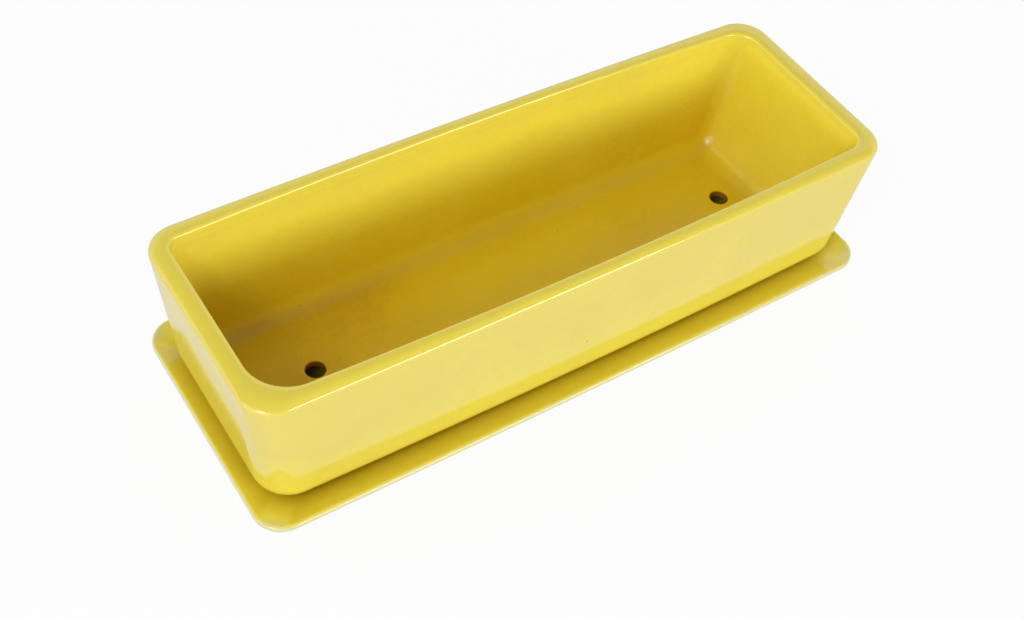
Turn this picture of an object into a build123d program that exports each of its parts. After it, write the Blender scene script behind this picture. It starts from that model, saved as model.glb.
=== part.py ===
from build123d import *
import os

# Indoor herb planter: a glazed ceramic trough that stands loose in a glazed ceramic drip saucer.
# Millimetres. X runs along the trough, Y across it, Z up from the table that the saucer stands on.

# Trough, outside
rim_length = 352.8
rim_width = 119.0
planter_height = 82.5  # from the foot to the top of the rim
end_taper = 7.0  # how far each end wall leans in from rim to base
side_taper = 2.0  # the same for each long wall
rim_bow = 1.5  # how far each long wall bows out at mid length, at the rim
base_bow = 2.3  # the same at the base
rim_corner_radius = 15.7
base_corner_radius = 18.2
base_round = 13.0  # rounding under the walls

# Trough, inside
end_wall = 10.2  # wall at the rim, at the middle of each end
side_wall = 7.8  # wall at the rim, at the middle of each long side
end_wall_at_floor = 11.6
side_wall_at_floor = 11.3
opening_bow = 4.2  # bow of the opening along each long side
well_bow = 1.0  # the same at the floor
opening_corner_radius = 11.0
well_corner_radius = 16.0
floor_thickness = 4.8
cove_radius = 13.0  # rounding between the walls and the floor
rim_round = 3.4  # outer edge of the rim
lip_round = 2.8  # inner edge of the rim

# Trough, underside
foot_height = 2.0  # gap under the rounded base
foot_inset = 4.4  # from the edge of the flat base to the foot
foot_width = 6.0
foot_corner_radius = 9.0
recess_depth = 10.7  # from the foot up to the underside of the floor
drain_diameter = 10.2
drain_spacing = 247.0
drain_offset = 4.6  # the pair of holes sits this far towards the +X end
drain_edge_round = 0.7

# Saucer
saucer_end_margin = 8.4  # how far the saucer stands out past the base at each end
saucer_side_margin = 10.5  # the same along each long side
saucer_height = 12.0
saucer_floor = 5.0
saucer_bow = 1.1
saucer_corner_radius = 15.6
saucer_lip_band = 4.4  # upright band at the top of the saucer's edge
saucer_lip_width = 4.6
saucer_lip_round = 3.0  # outer edge of the lip
saucer_crest_round = 6.5  # from the lip into the sloping inside
saucer_shoulder_round = 2.0  # where the upright band turns into the flare
saucer_flare = 13.0  # how far the wall spreads from foot to lip
saucer_foot_corner_radius = 9.0
saucer_slope_run = 16.0  # level distance from the lip's inner edge down to the floor
saucer_floor_corner_radius = 9.0
saucer_cove_radius = 14.0
saucer_foot_width = 8.0
saucer_recess_depth = 1.2

# Worked out from the sizes above
base_length = rim_length - 2 * end_taper
base_width = rim_width - 2 * side_taper
saucer_length = base_length + 2 * saucer_end_margin
saucer_width = base_width + 2 * saucer_side_margin

foot_level = saucer_floor  # the foot stands on the saucer's floor
base_level = foot_level + foot_height
recess_level = foot_level + recess_depth
floor_level = recess_level + floor_thickness
rim_level = foot_level + planter_height

floor_share = (floor_level - base_level) / (rim_level - base_level)  # 0 at the base, 1 at the rim
well_length = base_length + 2 * end_taper * floor_share - 2 * end_wall_at_floor
well_width = base_width + 2 * side_taper * floor_share - 2 * side_wall_at_floor

foot_length = base_length - 2 * (base_round + foot_inset)
foot_breadth = base_width - 2 * (base_round + foot_inset)

# Roundings stay inside the walls and corners that carry them
thin_wall = min(end_wall, side_wall)
rim_edge = min(rim_round, 0.6 * thin_wall)
lip_edge = min(lip_round, 0.36 * thin_wall)
base_edge = min(base_round, 0.9 * base_corner_radius)
cove_edge = min(cove_radius, 0.9 * well_corner_radius)
drain_edge = min(drain_edge_round, 0.4 * floor_thickness)
tray_lip_edge = min(saucer_lip_round, 0.66 * saucer_lip_width, 0.7 * saucer_lip_band)
tray_slope = (saucer_height - saucer_floor) / saucer_slope_run
tray_crest_edge = min(saucer_crest_round, 1.8 * (saucer_lip_width - tray_lip_edge) / tray_slope)
tray_shoulder_edge = min(saucer_shoulder_round, 1.5 * (saucer_lip_band - tray_lip_edge))


def bowed_section(length, width, bow, corner_radius, level):
    # Rounded rectangle whose two long sides bow outwards, lying at a level
    half_length = length / 2
    half_width = width / 2
    corner_width = half_width - bow
    with BuildSketch(Plane.XY.offset(level)) as section:
        with BuildLine():
            ThreePointArc((-half_length, -corner_width), (0, -half_width), (half_length, -corner_width))
            Line((half_length, -corner_width), (half_length, corner_width))
            ThreePointArc((half_length, corner_width), (0, half_width), (-half_length, corner_width))
            Line((-half_length, corner_width), (-half_length, -corner_width))
        make_face()
        fillet(section.vertices(), corner_radius)
    return section.sketch


def edges_at(part, level):
    # Edges that lie wholly at one level
    return part.edges().filter_by_position(Axis.Z, level - 0.001, level + 0.001)


# Trough: drafted walls with a rounded base, a coved well, drain holes and a foot ring under the floor
base_section = bowed_section(base_length, base_width, base_bow, base_corner_radius, base_level)
rim_section = bowed_section(rim_length, rim_width, rim_bow, rim_corner_radius, rim_level)
well_section = bowed_section(well_length, well_width, well_bow, well_corner_radius, floor_level)
opening_section = bowed_section(
    rim_length - 2 * end_wall, rim_width - 2 * side_wall, opening_bow, opening_corner_radius, rim_level
)

with BuildPart() as planter:
    loft(sections=[base_section, rim_section], ruled=True)
    fillet(edges_at(planter, base_level), base_edge)
    with BuildSketch(Plane.XY.offset(foot_level)):
        RectangleRounded(foot_length, foot_breadth, foot_corner_radius)
    extrude(amount=foot_height)
    with BuildSketch(Plane.XY.offset(foot_level)):
        RectangleRounded(
            foot_length - 2 * foot_width, foot_breadth - 2 * foot_width, foot_corner_radius - foot_width / 2
        )
    extrude(amount=recess_depth, mode=Mode.SUBTRACT)
    loft(sections=[well_section, opening_section], ruled=True, mode=Mode.SUBTRACT)
    fillet(edges_at(planter, floor_level), cove_edge)
    with Locations((drain_offset, 0, floor_level)):
        with GridLocations(drain_spacing, 0, 2, 1):
            Hole(drain_diameter / 2, depth=floor_thickness)
    fillet(edges_at(planter, floor_level).filter_by(lambda edge: edge.is_closed), drain_edge)
    rim_face = planter.faces().sort_by(Axis.Z)[-1]
    fillet(rim_face.outer_wire().edges(), rim_edge)
    rim_face = planter.faces().sort_by(Axis.Z)[-1]
    fillet(rim_face.inner_wires()[0].edges(), lip_edge)

# Saucer: shallow flared tray with an upright lip, a sloping inside and a recessed underside
shoulder_level = saucer_height - saucer_lip_band
tray_foot_section = bowed_section(
    saucer_length - 2 * saucer_flare, saucer_width - 2 * saucer_flare, saucer_bow, saucer_foot_corner_radius, 0
)
tray_shoulder_section = bowed_section(
    saucer_length, saucer_width, saucer_bow, saucer_corner_radius, shoulder_level
)
tray_floor_section = bowed_section(
    saucer_length - 2 * (saucer_lip_width + saucer_slope_run),
    saucer_width - 2 * (saucer_lip_width + saucer_slope_run),
    saucer_bow,
    saucer_floor_corner_radius,
    saucer_floor,
)
tray_mouth_section = bowed_section(
    saucer_length - 2 * saucer_lip_width,
    saucer_width - 2 * saucer_lip_width,
    saucer_bow,
    saucer_corner_radius - saucer_lip_width / 2,
    saucer_height,
)
tray_recess_section = bowed_section(
    saucer_length - 2 * (saucer_flare + saucer_foot_width),
    saucer_width - 2 * (saucer_flare + saucer_foot_width),
    saucer_bow,
    saucer_foot_corner_radius - saucer_foot_width / 2,
    0,
)

with BuildPart() as saucer:
    loft(sections=[tray_foot_section, tray_shoulder_section], ruled=True)
    extrude(tray_shoulder_section, amount=saucer_lip_band)
    fillet(edges_at(saucer, shoulder_level), tray_shoulder_edge)
    loft(sections=[tray_floor_section, tray_mouth_section], ruled=True, mode=Mode.SUBTRACT)
    fillet(edges_at(saucer, saucer_floor), saucer_cove_radius)
    extrude(tray_recess_section, amount=saucer_recess_depth, mode=Mode.SUBTRACT)
    lip_top = saucer.faces().filter_by(Axis.Z).sort_by(Axis.Z)[-1]
    fillet(lip_top.outer_wire().edges(), tray_lip_edge)
    lip_top = saucer.faces().filter_by(Axis.Z).sort_by(Axis.Z)[-1]
    fillet(lip_top.inner_wires()[0].edges(), tray_crest_edge)

planter.part.label = "planter"
saucer.part.label = "saucer"

os.makedirs("parts", exist_ok=True)
export_step(planter.part, "parts/planter.step")
export_step(saucer.part, "parts/saucer.step")
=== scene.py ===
import bmesh
import bpy
import math
import numpy as np
from mathutils import Matrix, Vector


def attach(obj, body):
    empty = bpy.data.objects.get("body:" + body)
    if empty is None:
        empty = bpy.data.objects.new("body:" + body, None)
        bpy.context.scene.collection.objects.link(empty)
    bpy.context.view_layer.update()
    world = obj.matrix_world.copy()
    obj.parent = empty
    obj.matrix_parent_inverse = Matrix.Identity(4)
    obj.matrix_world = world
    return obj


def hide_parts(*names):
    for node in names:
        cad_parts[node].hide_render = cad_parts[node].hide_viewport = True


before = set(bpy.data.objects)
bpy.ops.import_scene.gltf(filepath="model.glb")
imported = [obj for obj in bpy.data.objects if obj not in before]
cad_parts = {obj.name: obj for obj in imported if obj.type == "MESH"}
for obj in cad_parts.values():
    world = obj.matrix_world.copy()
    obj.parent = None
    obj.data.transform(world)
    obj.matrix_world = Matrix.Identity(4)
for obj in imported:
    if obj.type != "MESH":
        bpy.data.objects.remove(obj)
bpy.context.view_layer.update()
scene = bpy.context.scene
print("frame loaded")

# Metres in a millimetre; the pieces below are worked out in millimetres
mm = 0.001
seamGap = 0.002  # points nearer than this are merged
sliverSize = 0.001  # edges shorter than this are dropped
bareLimit = 0.05  # faces this close to the level that a piece stands on are bare of glaze


# Shared shape tools

def blend(low, high, share):
    return low + (high - low) * share


def easeStep(position):
    # From 0 to 1 with a soft start and end
    position = np.clip(position, 0, 1)
    return position * position * (3 - 2 * position)


def walkRound(sideSteps, cornerSteps, endSteps, split):
    # Stops of one walk round a rounded rectangle, anticlockwise from above, from a split point on the front.
    # alongX and alongY run from -1 to 1 over the straight part of a side.
    # turn is 0 on a long side and 1 on an end.
    side = np.linspace(0, 1, sideSteps, endpoint=False)
    corner = np.linspace(0, 1, cornerSteps, endpoint=False)
    end = np.linspace(0, 1, endSteps, endpoint=False)
    sideOnes, cornerOnes, endOnes = 0 * side + 1, 0 * corner + 1, 0 * end + 1
    alongX = np.concatenate([
        blend(split, 1, side), cornerOnes, endOnes, cornerOnes, blend(1, split, side),
        blend(split, -1, side), -cornerOnes, -endOnes, -cornerOnes, blend(-1, split, side),
    ])
    alongY = np.concatenate([
        -sideOnes, -cornerOnes, 2 * end - 1, cornerOnes, sideOnes,
        sideOnes, cornerOnes, 1 - 2 * end, -cornerOnes, -sideOnes,
    ])
    turn = np.concatenate([0 * side, corner, endOnes, 1 - corner, 0 * side] * 2)
    return alongX, alongY, turn


def cornerShare(turn):
    # 0 along the sides and ends, 1 half way round a corner
    return 1 - np.abs(2 * turn - 1)


def bowedLoops(walk, halfLength, halfWidth, bow, radius, level, drawnIn=0):
    # One loop per row: a core rectangle whose long sides bow out as a parabola, plus the corner radius
    # along the outward direction, which swings from square-on to the side round to square-on to the end.
    # bow is (front, back) and radius (frontLeft, frontRight, backRight, backLeft), or one value for the whole
    # loop; each value may be an array with one entry per row. drawnIn pulls the loop in along that direction.
    def perRow(values):
        return np.asarray(values, float).reshape(-1, 1)

    alongX, alongY, turn = (part[None, :] for part in walk)
    halfLength, halfWidth, level = perRow(halfLength), perRow(halfWidth), perRow(level)
    toRight, toBack = (1 + alongX) / 2, (1 + alongY) / 2
    shares = [(1 - toRight) * (1 - toBack), toRight * (1 - toBack), toRight * toBack, (1 - toRight) * toBack]
    if isinstance(radius, tuple):
        radius = sum(share * perRow(corner) for share, corner in zip(shares, radius))
    else:
        radius = perRow(radius)
    if isinstance(bow, tuple):
        bow = (1 - toBack) * perRow(bow[0]) + toBack * perRow(bow[1])
    else:
        bow = perRow(bow)
    coreX = alongX * (halfLength - radius)
    coreY = halfWidth - radius - bow * (coreX / halfLength) ** 2
    tilt = np.arctan(2 * bow * coreX / halfLength ** 2)
    swing = tilt + turn * (np.sign(alongX) * np.pi / 2 - tilt)
    x = coreX + (radius - drawnIn) * np.sin(swing)
    y = alongY * coreY + np.sign(alongY) * (radius - drawnIn) * np.cos(swing)
    return np.stack([x, y, level + 0 * x], axis=-1)


def roundedRun(corners, arcSteps):
    # A run of straight pieces through the corner points, each corner replaced by a tangent arc.
    # Columns after the first two are carried along with the run; the last column is the arc's radius.
    corners = np.asarray(corners, float)
    run = [corners[:1, :-1]]
    t = np.linspace(0, 1, arcSteps)[:, None]
    for before, here, after in zip(corners[:-2], corners[1:-1], corners[2:]):
        toBefore, toAfter = before[:2] - here[:2], after[:2] - here[:2]
        reachBefore, reachAfter = np.linalg.norm(toBefore), np.linalg.norm(toAfter)
        toBefore, toAfter = toBefore / reachBefore, toAfter / reachAfter
        opening = math.acos(np.clip(toBefore @ toAfter, -1, 1))
        tangent = here[-1] / math.tan(opening / 2)
        halfway = (toBefore + toAfter) / np.linalg.norm(toBefore + toAfter)
        middle = here[:2] + halfway * here[-1] / math.sin(opening / 2)
        first = here[:2] + toBefore * tangent - middle
        last = here[:2] + toAfter * tangent - middle
        sweep = math.pi - opening
        arc = middle + (np.sin((1 - t) * sweep) * first + np.sin(t * sweep) * last) / math.sin(sweep)
        carriedStart = here[2:-1] + (before[2:-1] - here[2:-1]) * tangent / reachBefore
        carriedEnd = here[2:-1] + (after[2:-1] - here[2:-1]) * tangent / reachAfter
        run.append(np.hstack([arc, carriedStart + (carriedEnd - carriedStart) * t]))
    run.append(corners[-1:, :-1])
    return np.vstack(run)


def gridFaces(rows, columns, start, outward):
    # Four-sided faces of a grid that closes on itself along its rows
    row, column = np.meshgrid(np.arange(rows - 1), np.arange(columns), indexing="ij")
    following = (column + 1) % columns
    near, far = start + row * columns, start + (row + 1) * columns
    order = [near + column, far + column, far + following, near + following]
    if not outward:
        order = [order[0], order[3], order[2], order[1]]
    return np.stack(order, axis=-1).reshape(-1, 4)


def makePiece(name, points, faces, bareFaces, glazeDepthAndPaintedLight, materials):
    # Puts the arrays into a mesh with the depth value at each point, the glaze's depth mixed with painted
    # light and shade, merges the shared seams and marks the faces that were left bare of glaze
    mesh = bpy.data.meshes.new(name)
    mesh.from_pydata((points * mm).tolist(), [], faces.tolist())
    depth = mesh.attributes.new("glazeDepthAndPaintedLight", "FLOAT", "POINT")
    depth.data.foreach_set("value", glazeDepthAndPaintedLight.astype(np.float32))
    mesh.polygons.foreach_set("material_index", bareFaces.astype(np.int32))
    mesh.polygons.foreach_set("use_smooth", np.ones(len(faces), bool))
    for material in materials:
        mesh.materials.append(material)
    shell = bmesh.new()
    shell.from_mesh(mesh)
    bmesh.ops.remove_doubles(shell, verts=shell.verts, dist=seamGap * mm)
    bmesh.ops.dissolve_degenerate(shell, edges=shell.edges, dist=sliverSize * mm)
    openEdges = sum(not edge.is_manifold for edge in shell.edges)
    volume = round(shell.calc_volume(signed=True) / (10 * mm) ** 3, 1)
    print(name, "faces", len(shell.faces), "open edges", openEdges, "volume cm3", volume)
    shell.to_mesh(mesh)
    shell.free()
    piece = bpy.data.objects.new(name, mesh)
    scene.collection.objects.link(piece)
    return piece


# Glaze and bare clay

def addNode(tree, kind, inputs=None, **settings):
    node = tree.nodes.new(kind)
    for key, value in settings.items():
        setattr(node, key, value)
    for key, value in (inputs or {}).items():
        if isinstance(value, bpy.types.NodeSocket):
            tree.links.new(value, node.inputs[key])
        else:
            node.inputs[key].default_value = value
    return node


def addMath(tree, operation, *values):
    return addNode(tree, "ShaderNodeMath", dict(enumerate(values)), operation=operation).outputs[0]


def addNoise(tree, place, scale, detail):
    noise = addNode(tree, "ShaderNodeTexNoise", {"Vector": place, "Scale": scale, "Detail": detail})
    return noise.outputs["Fac"]


def addRange(tree, value, start, stop, low, high, interpolation="LINEAR"):
    # Takes the value from start..stop to low..high, held at both ends
    ends = {"Value": value, "From Min": start, "From Max": stop, "To Min": low, "To Max": high}
    return addNode(tree, "ShaderNodeMapRange", ends, interpolation_type=interpolation).outputs["Result"]


def addRamp(tree, factor, stops):
    ramp = addNode(tree, "ShaderNodeValToRGB", {"Fac": factor})
    while len(ramp.color_ramp.elements) < len(stops):
        ramp.color_ramp.elements.new(1.0)
    for element, (position, colour) in zip(ramp.color_ramp.elements, stops):
        element.position, element.color = position, (*colour, 1)
    return ramp.outputs["Color"]


# each noise is its scale and its detail, and heights are in metres
glaze = dict(
    depthColours=[  # by depth value, from thin over the rim's edges to pooled in the drain holes; the stops also hold painted light and shade: the thin stop is lighter partly as painted light on the rim, the inside-wall stop (0.46) is lighter than the outside one (0.30), and the stops from 0.58 to 0.78 are darker and more orange as painted shade down the well
        (0.00, (0.80, 0.73, 0.34)), (0.14, (0.87, 0.725, 0.064)), (0.30, (0.78, 0.635, 0.092)),
        (0.46, (0.93, 0.78, 0.068)), (0.58, (0.84, 0.66, 0.040)), (0.68, (0.77, 0.54, 0.010)),
        (0.78, (0.72, 0.46, 0.005)), (1.00, (0.30, 0.11, 0.010)),
    ],
    drift=0.12, driftNoise=(24.0, 3.0), mottle=0.06, mottleNoise=(330.0, 2.0),
    roughness=(0.08, 0.14), smearNoise=(60.0, 4.0), smearRange=(0.3, 0.7),
    satin=0.14, satinDepth=(0.40, 0.60),  # how much rougher deep glaze is, and the depths where it turns so
    ior=1.7,
    waveHeight=0.00012, waveNoise=(34.0, 1.0), peelHeight=0.000006, peelNoise=(650.0, 2.0),
    speckColour=(0.16, 0.075, 0.015), speckScale=46.0,
    speckSize=(0.022, 0.011),  # a speck's edge and its dark core
)


def makeGlaze(name, look):
    # Colour follows the depth value, the glaze's depth mixed with painted light and shade, plus slow and fine
    # noise, with a few iron specks;
    # waves and a fine peel are bump
    material = bpy.data.materials.new(name)
    material.use_nodes = True
    tree = material.node_tree
    shader = tree.nodes["Principled BSDF"]
    place = addNode(tree, "ShaderNodeTexCoord").outputs["Object"]
    depth = addNode(tree, "ShaderNodeAttribute", attribute_name="glazeDepthAndPaintedLight").outputs["Fac"]

    drift = addNoise(tree, place, *look["driftNoise"])
    drifted = addMath(tree, "MULTIPLY_ADD", drift, look["drift"], depth)
    mottle = addNoise(tree, place, *look["mottleNoise"])
    mottled = addMath(tree, "MULTIPLY_ADD", mottle, look["mottle"], drifted)
    centred = addMath(tree, "SUBTRACT", mottled, (look["drift"] + look["mottle"]) / 2)
    colour = addRamp(tree, centred, look["depthColours"])
    cell = addNode(tree, "ShaderNodeTexVoronoi", {"Vector": place, "Scale": look["speckScale"]})
    speck = addRange(tree, cell.outputs["Distance"], *look["speckSize"], 0.0, 1.0, "SMOOTHSTEP")
    speckled = addNode(tree, "ShaderNodeMix", {
        "Factor": speck, 6: colour, 7: (*look["speckColour"], 1),
    }, data_type="RGBA")
    tree.links.new(speckled.outputs[2], shader.inputs["Base Color"])

    smudge = addNoise(tree, place, *look["smearNoise"])
    smear = addRange(tree, smudge, *look["smearRange"], *look["roughness"])
    satin = addRange(tree, depth, *look["satinDepth"], 0.0, look["satin"])
    tree.links.new(addMath(tree, "ADD", smear, satin), shader.inputs["Roughness"])
    shader.inputs["IOR"].default_value = look["ior"]

    waves = addNode(tree, "ShaderNodeBump", {
        "Height": addNoise(tree, place, *look["waveNoise"]), "Distance": look["waveHeight"],
    })
    peel = addNode(tree, "ShaderNodeBump", {
        "Height": addNoise(tree, place, *look["peelNoise"]), "Distance": look["peelHeight"],
        "Normal": waves.outputs["Normal"],
    })
    tree.links.new(peel.outputs["Normal"], shader.inputs["Normal"])
    return material


clay = dict(
    colours=[(0.30, (0.62, 0.54, 0.43)), (0.55, (0.72, 0.65, 0.54)), (0.75, (0.78, 0.73, 0.63))],
    blotchNoise=(90.0, 6.0), roughness=0.85, grainHeight=0.00012, grainNoise=(1600.0, 3.0),
)


def makeBareClay(look):
    material = bpy.data.materials.new("bareClay")
    material.use_nodes = True
    tree = material.node_tree
    shader = tree.nodes["Principled BSDF"]
    place = addNode(tree, "ShaderNodeTexCoord").outputs["Object"]
    blotch = addNoise(tree, place, *look["blotchNoise"])
    tree.links.new(addRamp(tree, blotch, look["colours"]), shader.inputs["Base Color"])
    shader.inputs["Roughness"].default_value = look["roughness"]
    grain = addNoise(tree, place, *look["grainNoise"])
    bump = addNode(tree, "ShaderNodeBump", {"Height": grain, "Distance": look["grainHeight"]})
    tree.links.new(bump.outputs["Normal"], shader.inputs["Normal"])
    return material


yellowGlaze = makeGlaze("yellowGlaze", glaze)
bareClay = makeBareClay(clay)
print("materials made")

# Planter

planter = dict(
    # outside
    rimLength=352.8, rimWidth=119.0, rimBow=1.5, rimCorner=15.7, rimLevel=87.5,
    baseLength=338.8, baseWidth=115.0, baseBow=2.3, baseCorner=18.2, baseLevel=7.0, baseRound=13.0,
    # inside; bows are front and back, corners front left, front right, back right, back left
    openingLength=333.4, openingWidth=105.0, openingBow=(3.9, 3.8),
    lipCorner=(21.0, 9.5, 13.0, 6.0), wallCorner=(16.0, 8.0, 7.5, 7.0),
    lipDepth=9.0,  # how far below the rim the lip's corners have turned into the wall's
    wellLength=304.0, wellWidth=77.0, wellBow=1.0, floorLevel=20.5, coveRound=9.0, floorCorner=3.0,
    wellShift=-6.0,  # how far the well's floor sits off along X, which leans the right end wall more
    # rim; trimDrop is on the long sides and on the ends
    crownOut=3.3, crownIn=3.2,  # how far down the rounding of the rim reaches
    crest=0.46,  # place of the crest across the wall
    crownSquare=(5.0, 2.2),  # squareness of the inner and the outer edge
    trimDrop=(6.5, 3.8), trimStep=0.10, trimSoft=1.6,
    trimRoom=2.0,  # how far below the trim line the finer rows start
    # underside
    footLength=304.0, footWidth=80.2, footCorner=9.0, footBand=6.0, footLevel=5.0, recessLevel=15.7,
    footRounds=(0.6, 0.8, 0.8, 1.5),  # from the flat base in to the recess
    recessPatch=(3.0, 4.0),  # flat middle of the recess: distance in from its wall, corner radius
    # drain holes
    drainAcross=10.2, drainSpacing=247.0, drainOffset=4.6, drainEdge=0.7, drainUnderEdge=0.4,
    floorCrowd=1.4,  # power that draws the floor's rows together towards the holes
    # glaze depth, which also carries painted light and shade: the inside walls and floor darken going down as
    # painted shade, the front inside wall most; the rim is lighter partly from thin glaze and partly as
    # painted light; pace is how soon the inside darkens: 1 takes the whole height, more is sooner
    glazeDepthAndPaintedLight=dict(
        crest=0.18, lip=0.40, back=0.67, front=0.74, ends=0.575, corner=0.04, floor=0.70, drain=0.95,
        outside=0.30, base=0.39,
    ),
    glazePace=dict(back=1.25, front=5.0, ends=5.0, drain=3.0),
    baseFade=3,  # power that keeps the deeper, lighter and more saturated glaze of the base, a painted reflection of the saucer, low on the outside
    paintedFloorShade=(-95.0, 32.0, 55.0, 40.0, 0.13),  # painted shade: a patch of deeper, darker glaze on the well's floor towards the back left: middle, spread and depth
    # fineness; walk is along half a long side, round a corner and along an end
    steps=dict(
        walk=(60, 18, 28), cove=15, lowerWall=20, upperWall=22, crown=17, outerWall=24, footRound=6,
        floorCut=25, floor=15, drainEdge=6, drain=7, drainUnderEdge=4, underFloor=11,
    ),
)


def paintedFloorShadeDepth(paintedFloorShade, place):
    # Painted shade: a soft dark patch, deepest at its middle, fading with distance
    middleX, middleY, spreadX, spreadY, extra = paintedFloorShade
    offX, offY = (place[..., 0] - middleX) / spreadX, (place[..., 1] - middleY) / spreadY
    return extra * np.exp(-offX ** 2 - offY ** 2)


def planterShell(size, walk):
    # Rows run from the edge of the well's floor up the inside, over the rim, down the outside and under
    # to the recess; columns run round the trough. Comes back with the depth value at each point, the glaze's
    # depth mixed with painted light and shade.
    alongY, turn = walk[1:]
    rim, base, floor, steps = size["rimLevel"], size["baseLevel"], size["floorLevel"], size["steps"]

    def innerLoops(level, inset):
        # Well to opening by height; the corners change near the lip and tighten in the cove.
        # Above the trim line the wall stands a little thicker, and the floor sits off along X.
        share = (level - floor) / (rim - floor)
        nearLip = easeStep((level - rim + size["lipDepth"]) / size["lipDepth"])
        towardsFloor = inset / size["coveRound"]
        trimDrop = blend(*size["trimDrop"], easeStep(turn))
        aboveTrim = easeStep((level[:, None] - rim + trimDrop) / size["trimSoft"] + 0.5)
        loops = bowedLoops(
            walk,
            blend(size["wellLength"], size["openingLength"], share) / 2 - inset,
            blend(size["wellWidth"], size["openingWidth"], share) / 2 - inset,
            tuple(blend(size["wellBow"], bow, share) for bow in size["openingBow"]),
            tuple(
                blend(blend(wall, lip, nearLip), size["floorCorner"], towardsFloor)
                for wall, lip in zip(size["wallCorner"], size["lipCorner"])
            ),
            level,
            size["trimStep"] * (aboveTrim - 1),
        )
        loops[..., 0] += (1 - share[:, None]) * size["wellShift"]
        return loops

    def outerLoops(level, inset):
        # Base to rim by height
        share = (level - base) / (rim - base)
        return bowedLoops(
            walk,
            blend(size["baseLength"], size["rimLength"], share) / 2 - inset,
            blend(size["baseWidth"], size["rimWidth"], share) / 2 - inset,
            blend(size["baseBow"], size["rimBow"], share),
            blend(size["baseCorner"], size["rimCorner"], share) - inset,
            level,
        )

    # inside: cove, then wall
    quarter = np.linspace(0, np.pi / 2, steps["cove"])
    coveTop, trimStart = floor + size["coveRound"], rim - size["trimDrop"][0] - size["trimRoom"]
    coveRise, coveInset = size["coveRound"] * (1 - np.cos(quarter)), size["coveRound"] * (1 - np.sin(quarter))
    cove = innerLoops(floor + coveRise, coveInset)
    wallLevels = np.concatenate([
        np.linspace(coveTop, trimStart, steps["lowerWall"])[1:],
        np.linspace(trimStart, rim - size["crownIn"], steps["upperWall"])[1:-1],
    ])
    innerWall = innerLoops(wallLevels, 0 * wallLevels)

    # rim: two quarter superellipses that meet at the crest, across the wall from the inside to the outside
    up = np.linspace(0, np.pi / 2, steps["crown"])
    over = up[::-1][1:]
    squareIn, squareOut = (2 / square for square in size["crownSquare"])
    across = np.concatenate([
        size["crest"] * (1 - np.cos(up) ** squareIn),
        1 - (1 - size["crest"]) * (1 - np.cos(over) ** squareOut),
    ])
    crownLevels = np.concatenate([
        rim - size["crownIn"] * (1 - np.sin(up) ** squareIn),
        rim - size["crownOut"] * (1 - np.sin(over) ** squareOut),
    ])
    noInset = 0 * crownLevels
    crown = blend(innerLoops(crownLevels, noInset), outerLoops(crownLevels, noInset), across[:, None, None])

    # outside: wall, then the rounded base
    outerLevels = np.linspace(rim - size["crownOut"], base + size["baseRound"], steps["outerWall"])[1:]
    outerWall = outerLoops(outerLevels, 0 * outerLevels)
    under = quarter[::-1][1:]
    baseRise, baseInset = size["baseRound"] * (1 - np.cos(under)), size["baseRound"] * (1 - np.sin(under))
    baseRows = outerLoops(base + baseRise, baseInset)

    # underside: flat base, foot ring and recess, as one run with rounded corners
    # columns: half length, level, half width, bow, corner radius, rounding
    flatLength, flatWidth = (size[key] / 2 - size["baseRound"] for key in ("baseLength", "baseWidth"))
    flatCorner = size["baseCorner"] - size["baseRound"]
    lengthOut, widthOut = size["footLength"] / 2, size["footWidth"] / 2
    lengthIn, widthIn = lengthOut - size["footBand"], widthOut - size["footBand"]
    cornerOut, cornerIn = size["footCorner"], size["footCorner"] - size["footBand"] / 2
    patchIn, patchCorner = size["recessPatch"]
    footLevel, recess = size["footLevel"], size["recessLevel"]
    rounds = size["footRounds"]
    footRun = roundedRun([
        (flatLength, base, flatWidth, size["baseBow"], flatCorner, 0),
        (lengthOut, base, widthOut, 0, cornerOut, rounds[0]),
        (lengthOut, footLevel, widthOut, 0, cornerOut, rounds[1]),
        (lengthIn, footLevel, widthIn, 0, cornerIn, rounds[2]),
        (lengthIn, recess, widthIn, 0, cornerIn, rounds[3]),
        (lengthIn - patchIn, recess, widthIn - patchIn, 0, patchCorner, 0),
    ], steps["footRound"])[1:]
    footRows = bowedLoops(walk, footRun[:, 0], footRun[:, 2], footRun[:, 3], footRun[:, 4], footRun[:, 1])

    # glaze depth with painted light and shade: thin and lighter over the rim, partly as painted light; darker
    # and more orange down the inside as painted shade, and a little darker in its corners; a little deeper
    # round the base, lighter and more saturated there as a painted reflection of the saucer
    deep, pace = size["glazeDepthAndPaintedLight"], size["glazePace"]
    down = 1 - (wallLevels - floor) / (rim - floor)
    thinOverCrest = (deep["outside"] - deep["crest"]) * np.sin(np.pi * across)

    def rowDepth(wall):
        return np.concatenate([
            blend(deep["floor"], deep[wall], 1 - np.cos(quarter)),
            blend(deep["lip"], deep[wall], easeStep(pace[wall] * down)),
            blend(deep["lip"], deep["outside"], across) - thinOverCrest,
            blend(deep["outside"], deep["base"], np.linspace(0, 1, len(outerWall)) ** size["baseFade"]),
            np.full(len(baseRows) + len(footRows), deep["base"]),
        ])[:, None]

    depth = blend(rowDepth("front"), rowDepth("back"), (1 + alongY) / 2)
    depth = blend(depth, rowDepth("ends"), turn)
    insideShare = np.concatenate([np.sin(quarter), 0 * wallLevels + 1])[:, None]
    depth[:len(insideShare)] += deep["corner"] * insideShare * cornerShare(turn)
    # painted shade: the floor's dark patch carried up into the cove
    depth[:len(quarter)] += np.cos(quarter)[:, None] * paintedFloorShadeDepth(size["paintedFloorShade"], cove)
    return np.concatenate([cove, innerWall, crown, outerWall, baseRows, footRows]), depth


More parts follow.
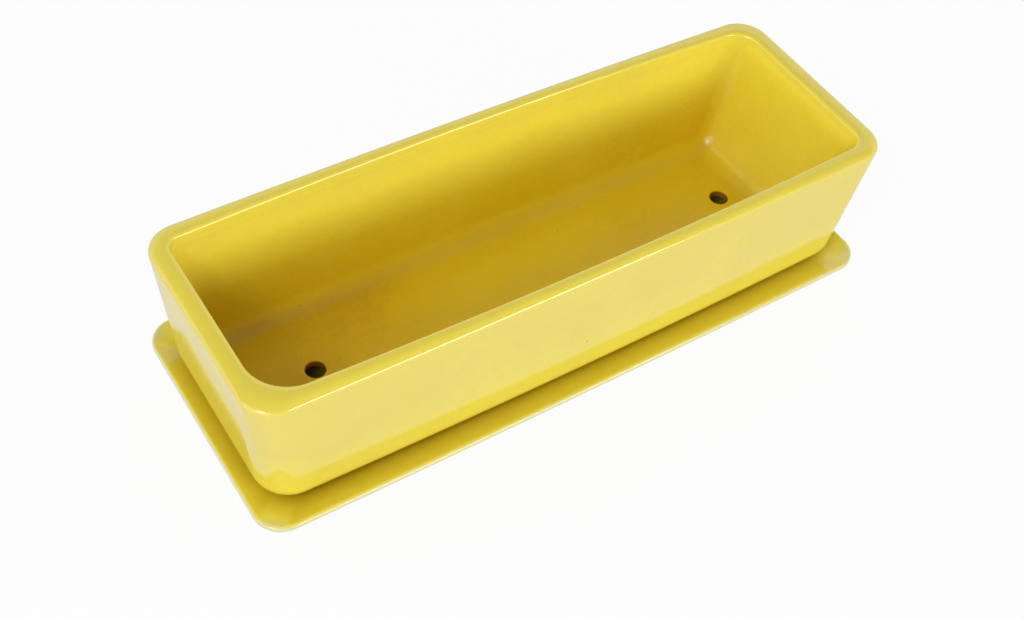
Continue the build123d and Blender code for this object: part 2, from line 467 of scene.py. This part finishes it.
def planterFloor(size, topLoop, bottomLoop, side):
    # Half of the floor, the right one for side 1 and the left one for side -1. Rows run from its outline in
    # to the drain hole, down through it and out again below. Comes back with the depth value, the glaze's
    # depth with painted shade in it.
    floor, recess, steps, deep = size["floorLevel"], size["recessLevel"], size["steps"], size["glazeDepthAndPaintedLight"]
    radius, edge, underEdge = size["drainAcross"] / 2, size["drainEdge"], size["drainUnderEdge"]
    centreX = size["drainOffset"] + side * size["drainSpacing"] / 2
    halfTrip = len(topLoop) // 2
    division = np.linspace(0, 1, steps["floorCut"])[1:-1, None]

    def outline(loop):
        # half of the loop, closed by a cut across the middle
        cut = blend(loop[halfTrip], loop[0], division)
        if side > 0:
            return np.vstack([loop[:halfTrip + 1], cut])
        return np.vstack([loop[halfTrip:], loop[:1], cut[::-1]])

    topEdge, bottomEdge = outline(topLoop), outline(bottomLoop)
    bearingTop = np.arctan2(topEdge[:, 1], topEdge[:, 0] - centreX)
    bearingBottom = np.arctan2(bottomEdge[:, 1], bottomEdge[:, 0] - centreX)
    twist = (bearingBottom - bearingTop + np.pi) % (2 * np.pi) - np.pi

    # hole: rounded edge, bore and small rounding below
    turnIn = np.linspace(0, np.pi / 2, steps["drainEdge"])
    boreLevels = np.linspace(floor - edge, recess + underEdge, steps["drain"])[1:]
    turnOut = np.linspace(0, np.pi / 2, steps["drainUnderEdge"])[1:]
    ringRadius = np.concatenate([
        radius + edge * (1 - np.sin(turnIn)),
        0 * boreLevels + radius,
        radius + underEdge * (1 - np.cos(turnOut)),
    ])[:, None]
    ringLevel = np.concatenate([
        floor - edge * (1 - np.cos(turnIn)),
        boreLevels,
        recess + underEdge * (1 - np.sin(turnOut)),
    ])[:, None]
    down = (floor - ringLevel) / (floor - recess)
    bearing = bearingTop + down * twist
    rings = np.stack([
        centreX + ringRadius * np.cos(bearing), ringRadius * np.sin(bearing), ringLevel + 0 * bearing,
    ], axis=-1)
    inward = (np.linspace(1, 0, steps["floor"])[:-1] ** size["floorCrowd"])[:, None, None]
    outward = (np.linspace(0, 1, steps["underFloor"])[1:] ** size["floorCrowd"])[:, None, None]
    web = np.concatenate([blend(rings[0], topEdge, inward), rings, blend(rings[-1], bottomEdge, outward)])

    depth = np.concatenate([
        np.full((len(inward), 1), deep["floor"]),
        blend(deep["floor"], deep["drain"], easeStep(size["glazePace"]["drain"] * down)),
        np.full((len(outward), 1), deep["base"]),
    ]) + np.zeros(web.shape[1])
    topRows = slice(0, len(inward) + 1)
    # painted shade: a dark patch on the floor towards the back left
    depth[topRows] += paintedFloorShadeDepth(size["paintedFloorShade"], web[topRows])
    return web, depth


def planterSurface(size):
    # One grid for the shell and one for each half of the floor, which is cut where the walk starts
    floorSpan = size["wellLength"] / 2 - size["coveRound"] - size["floorCorner"]
    walk = walkRound(*size["steps"]["walk"], size["drainOffset"] / floorSpan)
    shell, shellDepth = planterShell(size, walk)
    grids = [(shell, shellDepth, True)]
    for side in (1, -1):
        grids.append((*planterFloor(size, shell[0], shell[-1], side), False))
    points, depths, faces, start = [], [], [], 0
    for grid, depth, outward in grids:
        points.append(grid.reshape(-1, 3))
        depths.append(depth.ravel())
        faces.append(gridFaces(*depth.shape, start, outward))
        start += depth.size
    points, faces = np.vstack(points), np.vstack(faces)
    bare = np.all(points[faces][:, :, 2] < size["footLevel"] + bareLimit, axis=1)
    return points, faces, bare, np.concatenate(depths)


planterPiece = makePiece("planterTrough", *planterSurface(planter), [yellowGlaze, bareClay])
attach(planterPiece, "planter")
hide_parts("planter")
print("planter made")

# Saucer

saucer = dict(
    length=355.6, width=136.0, bow=1.1, height=12.0, floorLevel=5.0,
    corner=14.4, crestCorner=12.4, floorCorner=9.0, footCorner=9.0, recessCorner=5.0,
    lipWidth=1.6, lipBand=2.7, slopeRun=19.0, flare=13.0, footWidth=8.0, recess=1.2,
    edgeRound=1.2, crestRound=2.0, coveRound=24.0, shoulderRound=0.8, footRound=0.8, recessRound=0.5,
    floorPatch=(12.0, 5.0), recessPatch=(4.0, 4.0),  # flat middles: distance in from the edge, corner radius
    glazeDepthAndPaintedLight=dict(floor=0.72, slope=0.54, edge=0.02, left=0.10),  # the last value is painted shade: how much deeper, and so darker, the left end is
    paleGlazeAndReflectionBand=(3.0, 5.5),  # width of the pale edge along the sides, and how much more at the corners; the pale edge is partly thin glaze and partly a painted reflection of the white floor
    # a darker copy of the glaze's colours at the depths the saucer uses, as painted shade for the lower light
    # on the tray; the palest stop is partly a painted reflection of the white floor
    depthColours=[
        (0.00, (0.74, 0.70, 0.38)), (0.14, (0.80, 0.70, 0.15)), (0.30, (0.84, 0.70, 0.070)),
        (0.50, (0.74, 0.59, 0.040)), (0.65, (0.63, 0.48, 0.022)), (0.80, (0.52, 0.37, 0.010)),
        (1.00, (0.30, 0.11, 0.010)),
    ],
    # walk is along half a long side, round a corner and along an end
    steps=dict(walk=(60, 18, 28), rounding=9, middle=16),
)


def saucerSurface(size):
    # Rows run from the middle of the floor up the sloping inside, over the lip, down the flare to the foot
    # ring and in to the middle of the underside; columns run round the tray.
    walk = walkRound(*size["steps"]["walk"], 0.0)
    top, floor, recess = size["height"], size["floorLevel"], size["recess"]
    floorOut = -size["lipWidth"] - size["slopeRun"]
    recessOut = -size["flare"] - size["footWidth"]
    floorPatchIn, floorPatchCorner = size["floorPatch"]
    recessPatchIn, recessPatchCorner = size["recessPatch"]
    # columns: distance out from the lip's outer edge, level, corner radius, rounding
    run = roundedRun([
        (floorOut - floorPatchIn, floor, floorPatchCorner, 0),
        (floorOut, floor, size["floorCorner"], size["coveRound"]),
        (-size["lipWidth"], top, size["crestCorner"], size["crestRound"]),
        (0, top, size["corner"], size["edgeRound"]),
        (0, top - size["lipBand"], size["corner"], size["shoulderRound"]),
        (-size["flare"], 0, size["footCorner"], size["footRound"]),
        (recessOut, 0, size["recessCorner"], size["recessRound"]),
        (recessOut, recess, size["recessCorner"], size["recessRound"]),
        (recessOut - recessPatchIn, recess, recessPatchCorner, 0),
    ], size["steps"]["rounding"])
    halfLength, halfWidth = size["length"] / 2, size["width"] / 2
    body = bowedLoops(walk, halfLength + run[:, 0], halfWidth + run[:, 0], size["bow"], run[:, 2], run[:, 1])
    shrink = np.linspace(0, 1, size["steps"]["middle"])[:-1, None, None]
    sideways = np.array([1, 1, 0])
    floorRows = body[0] * (shrink * sideways + (1 - sideways))
    underRows = body[-1] * (shrink[::-1] * sideways + (1 - sideways))
    shell = np.concatenate([floorRows, body, underRows])
    faces = gridFaces(shell.shape[0], shell.shape[1], 0, True)
    points = shell.reshape(-1, 3)
    bare = np.all(points[faces][:, :, 2] < bareLimit, axis=1)

    # glaze depth with painted light and shade: darker down towards the floor, darker towards the left end as
    # painted shade, and thin and pale over the edge, partly as a painted reflection of the white floor
    deep = size["glazeDepthAndPaintedLight"]
    share = np.clip((run[:, 1] - floor) / (top - floor), 0, 1)
    paleGlazeAndReflectionBand = size["paleGlazeAndReflectionBand"][0] + size["paleGlazeAndReflectionBand"][1] * easeStep(cornerShare(walk[2]))
    nearEdge = easeStep(1 + run[:, :1] / paleGlazeAndReflectionBand)
    depth = deep["floor"] - deep["left"] * shell[..., 0] / halfLength
    bodyRows = slice(len(floorRows), len(floorRows) + len(body))
    depth[bodyRows] += (deep["slope"] - deep["floor"]) * share[:, None]
    depth[bodyRows] = blend(depth[bodyRows], deep["edge"], nearEdge)
    return points, faces, bare, depth.ravel()


# the saucer's own darker copy of the glaze: painted shade for the lower light on the tray
saucerShadedGlaze = makeGlaze("saucerShadedGlaze", {**glaze, "depthColours": saucer["depthColours"]})
saucerPiece = makePiece("dripSaucer", *saucerSurface(saucer), [saucerShadedGlaze, bareClay])
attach(saucerPiece, "saucer")
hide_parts("saucer")
print("saucer made")

# Camera; metres, degrees, and millimetres for the lens and the sensor

cameraView = dict(
    place=(-0.29777, -0.35331, 0.54476), heading=39.640, dip=49.886, roll=8.8665,
    lens=48.19, sensor=36.0, clip=(0.02, 20.0),
)


def makeCamera(view):
    # Heading turns from +Y towards +X, dip is down from level, roll turns the picture
    heading, dip, roll = (math.radians(view[key]) for key in ("heading", "dip", "roll"))
    ahead = Vector((math.sin(heading) * math.cos(dip), math.cos(heading) * math.cos(dip), -math.sin(dip)))
    level = Vector((math.cos(heading), -math.sin(heading), 0))
    upright = level.cross(ahead)
    right = level * math.cos(roll) + upright * math.sin(roll)
    up = upright * math.cos(roll) - level * math.sin(roll)
    data = bpy.data.cameras.new("photoCamera")
    data.lens, data.sensor_width = view["lens"], view["sensor"]
    data.clip_start, data.clip_end = view["clip"]
    camera = bpy.data.objects.new("photoCamera", data)
    camera.matrix_world = Matrix((
        (right.x, up.x, -ahead.x, view["place"][0]),
        (right.y, up.y, -ahead.y, view["place"][1]),
        (right.z, up.z, -ahead.z, view["place"][2]),
        (0, 0, 0, 1),
    ))
    scene.collection.objects.link(camera)
    scene.camera = camera


makeCamera(cameraView)

# Floor, lamps and world; metres, degrees and watts

studio = dict(
    floorHalf=3.0, floorColour=(0.72, 0.72, 0.72), floorRoughness=0.9,
    floorWhite=(0.95, 0.5),  # share of plain white as the camera and as the gloss sees it
    domeTop=(-0.106, -0.290, 0.951), domeEdge=(0.56, 0.32),  # middle of the dim dome overhead, its soft edge
    fillLevel=(0.80, 0.46),  # fill light from below the dome and from inside it
    glossLevel=(1.0, 0.04),  # what the gloss shows of the same two
    aimHeight=0.05,  # level that the lamps face
    lamps=[  # name, bearing, height angle, distance, width, height, power
        ("frontSoftbox", -71.0, 15.0, 1.6, 0.77, 0.40, 8.6),
        ("leftSoftbox", -160.0, 32.0, 1.6, 1.90, 1.20, 9.3),
        ("leftTopSoftbox", -153.0, 46.0, 1.6, 0.36, 0.36, 4.0),
    ],
)


def seenDirectly(tree, byCamera, byGloss):
    # A share for what the camera sees itself, and one for what it sees by way of gloss or clear material
    path = addNode(tree, "ShaderNodeLightPath").outputs
    gloss = addMath(tree, "MAXIMUM", path["Is Glossy Ray"], path["Is Transmission Ray"])
    glossShare = addMath(tree, "MULTIPLY", gloss, byGloss)
    cameraShare = addMath(tree, "MULTIPLY", path["Is Camera Ray"], byCamera)
    return addMath(tree, "MAXIMUM", cameraShare, glossShare)


def makeFloor(look):
    mesh = bpy.data.meshes.new("studioFloor")
    half = look["floorHalf"]
    corners = [(-half, -half, 0), (half, -half, 0), (half, half, 0), (-half, half, 0)]
    mesh.from_pydata(corners, [], [(0, 1, 2, 3)])
    floor = bpy.data.objects.new("studioFloor", mesh)
    scene.collection.objects.link(floor)
    material = bpy.data.materials.new("studioPaper")
    material.use_nodes = True
    tree = material.node_tree
    paper = tree.nodes["Principled BSDF"]
    paper.inputs["Base Color"].default_value = (*look["floorColour"], 1)
    paper.inputs["Roughness"].default_value = look["floorRoughness"]
    paper.inputs["Specular IOR Level"].default_value = 0
    white = addNode(tree, "ShaderNodeEmission", {"Color": (1, 1, 1, 1), "Strength": 1.0})
    share = seenDirectly(tree, *look["floorWhite"])
    mixed = addNode(tree, "ShaderNodeMixShader", {0: share, 1: paper.outputs[0], 2: white.outputs[0]})
    tree.links.new(mixed.outputs[0], tree.nodes["Material Output"].inputs["Surface"])
    mesh.materials.append(material)


def makeLamp(name, bearing, height, distance, wide, tall, power):
    # Soft box that faces the object from a bearing (from +X towards +Y) and a height angle
    bearing, height = math.radians(bearing), math.radians(height)
    level = math.cos(height)
    towards = Vector((level * math.cos(bearing), level * math.sin(bearing), math.sin(height)))
    data = bpy.data.lights.new(name, "AREA")
    data.shape = "RECTANGLE"
    data.size, data.size_y, data.energy = wide, tall, power
    lamp = bpy.data.objects.new(name, data)
    lamp.location = towards * distance + Vector((0, 0, studio["aimHeight"]))
    lamp.rotation_mode = "QUATERNION"
    lamp.rotation_quaternion = (-towards).to_track_quat("-Z", "Y")
    scene.collection.objects.link(lamp)


def makeWorld(look):
    # White for the camera; fill light and gloss see a bright surround, higher at the back, under a dim dome
    world = bpy.data.worlds.new("studioWorld")
    world.use_nodes = True
    tree = world.node_tree
    background = tree.nodes["Background"]
    background.inputs["Color"].default_value = (1, 1, 1, 1)
    direction = addNode(tree, "ShaderNodeTexCoord").outputs["Generated"]
    alongTop = {0: direction, 1: look["domeTop"]}
    towardsTop = addNode(tree, "ShaderNodeVectorMath", alongTop, operation="DOT_PRODUCT").outputs["Value"]
    inner, outer = look["domeEdge"]

    def surround(levels):
        return addRange(tree, towardsTop, outer, inner, *levels, "SMOOTHSTEP")

    path = addNode(tree, "ShaderNodeLightPath").outputs
    shown = addNode(tree, "ShaderNodeMix", {
        "Factor": path["Is Camera Ray"], 2: surround(look["glossLevel"]), 3: 1.0,
    })
    strength = addNode(tree, "ShaderNodeMix", {
        "Factor": seenDirectly(tree, 1.0, 1.0), 2: surround(look["fillLevel"]), 3: shown.outputs[0],
    })
    tree.links.new(strength.outputs[0], background.inputs["Strength"])
    scene.world = world


makeFloor(studio)
for lamp in studio["lamps"]:
    makeLamp(*lamp)
makeWorld(studio)
scene.view_settings.view_transform = "Standard"
print("studio made")

print("scene ready")
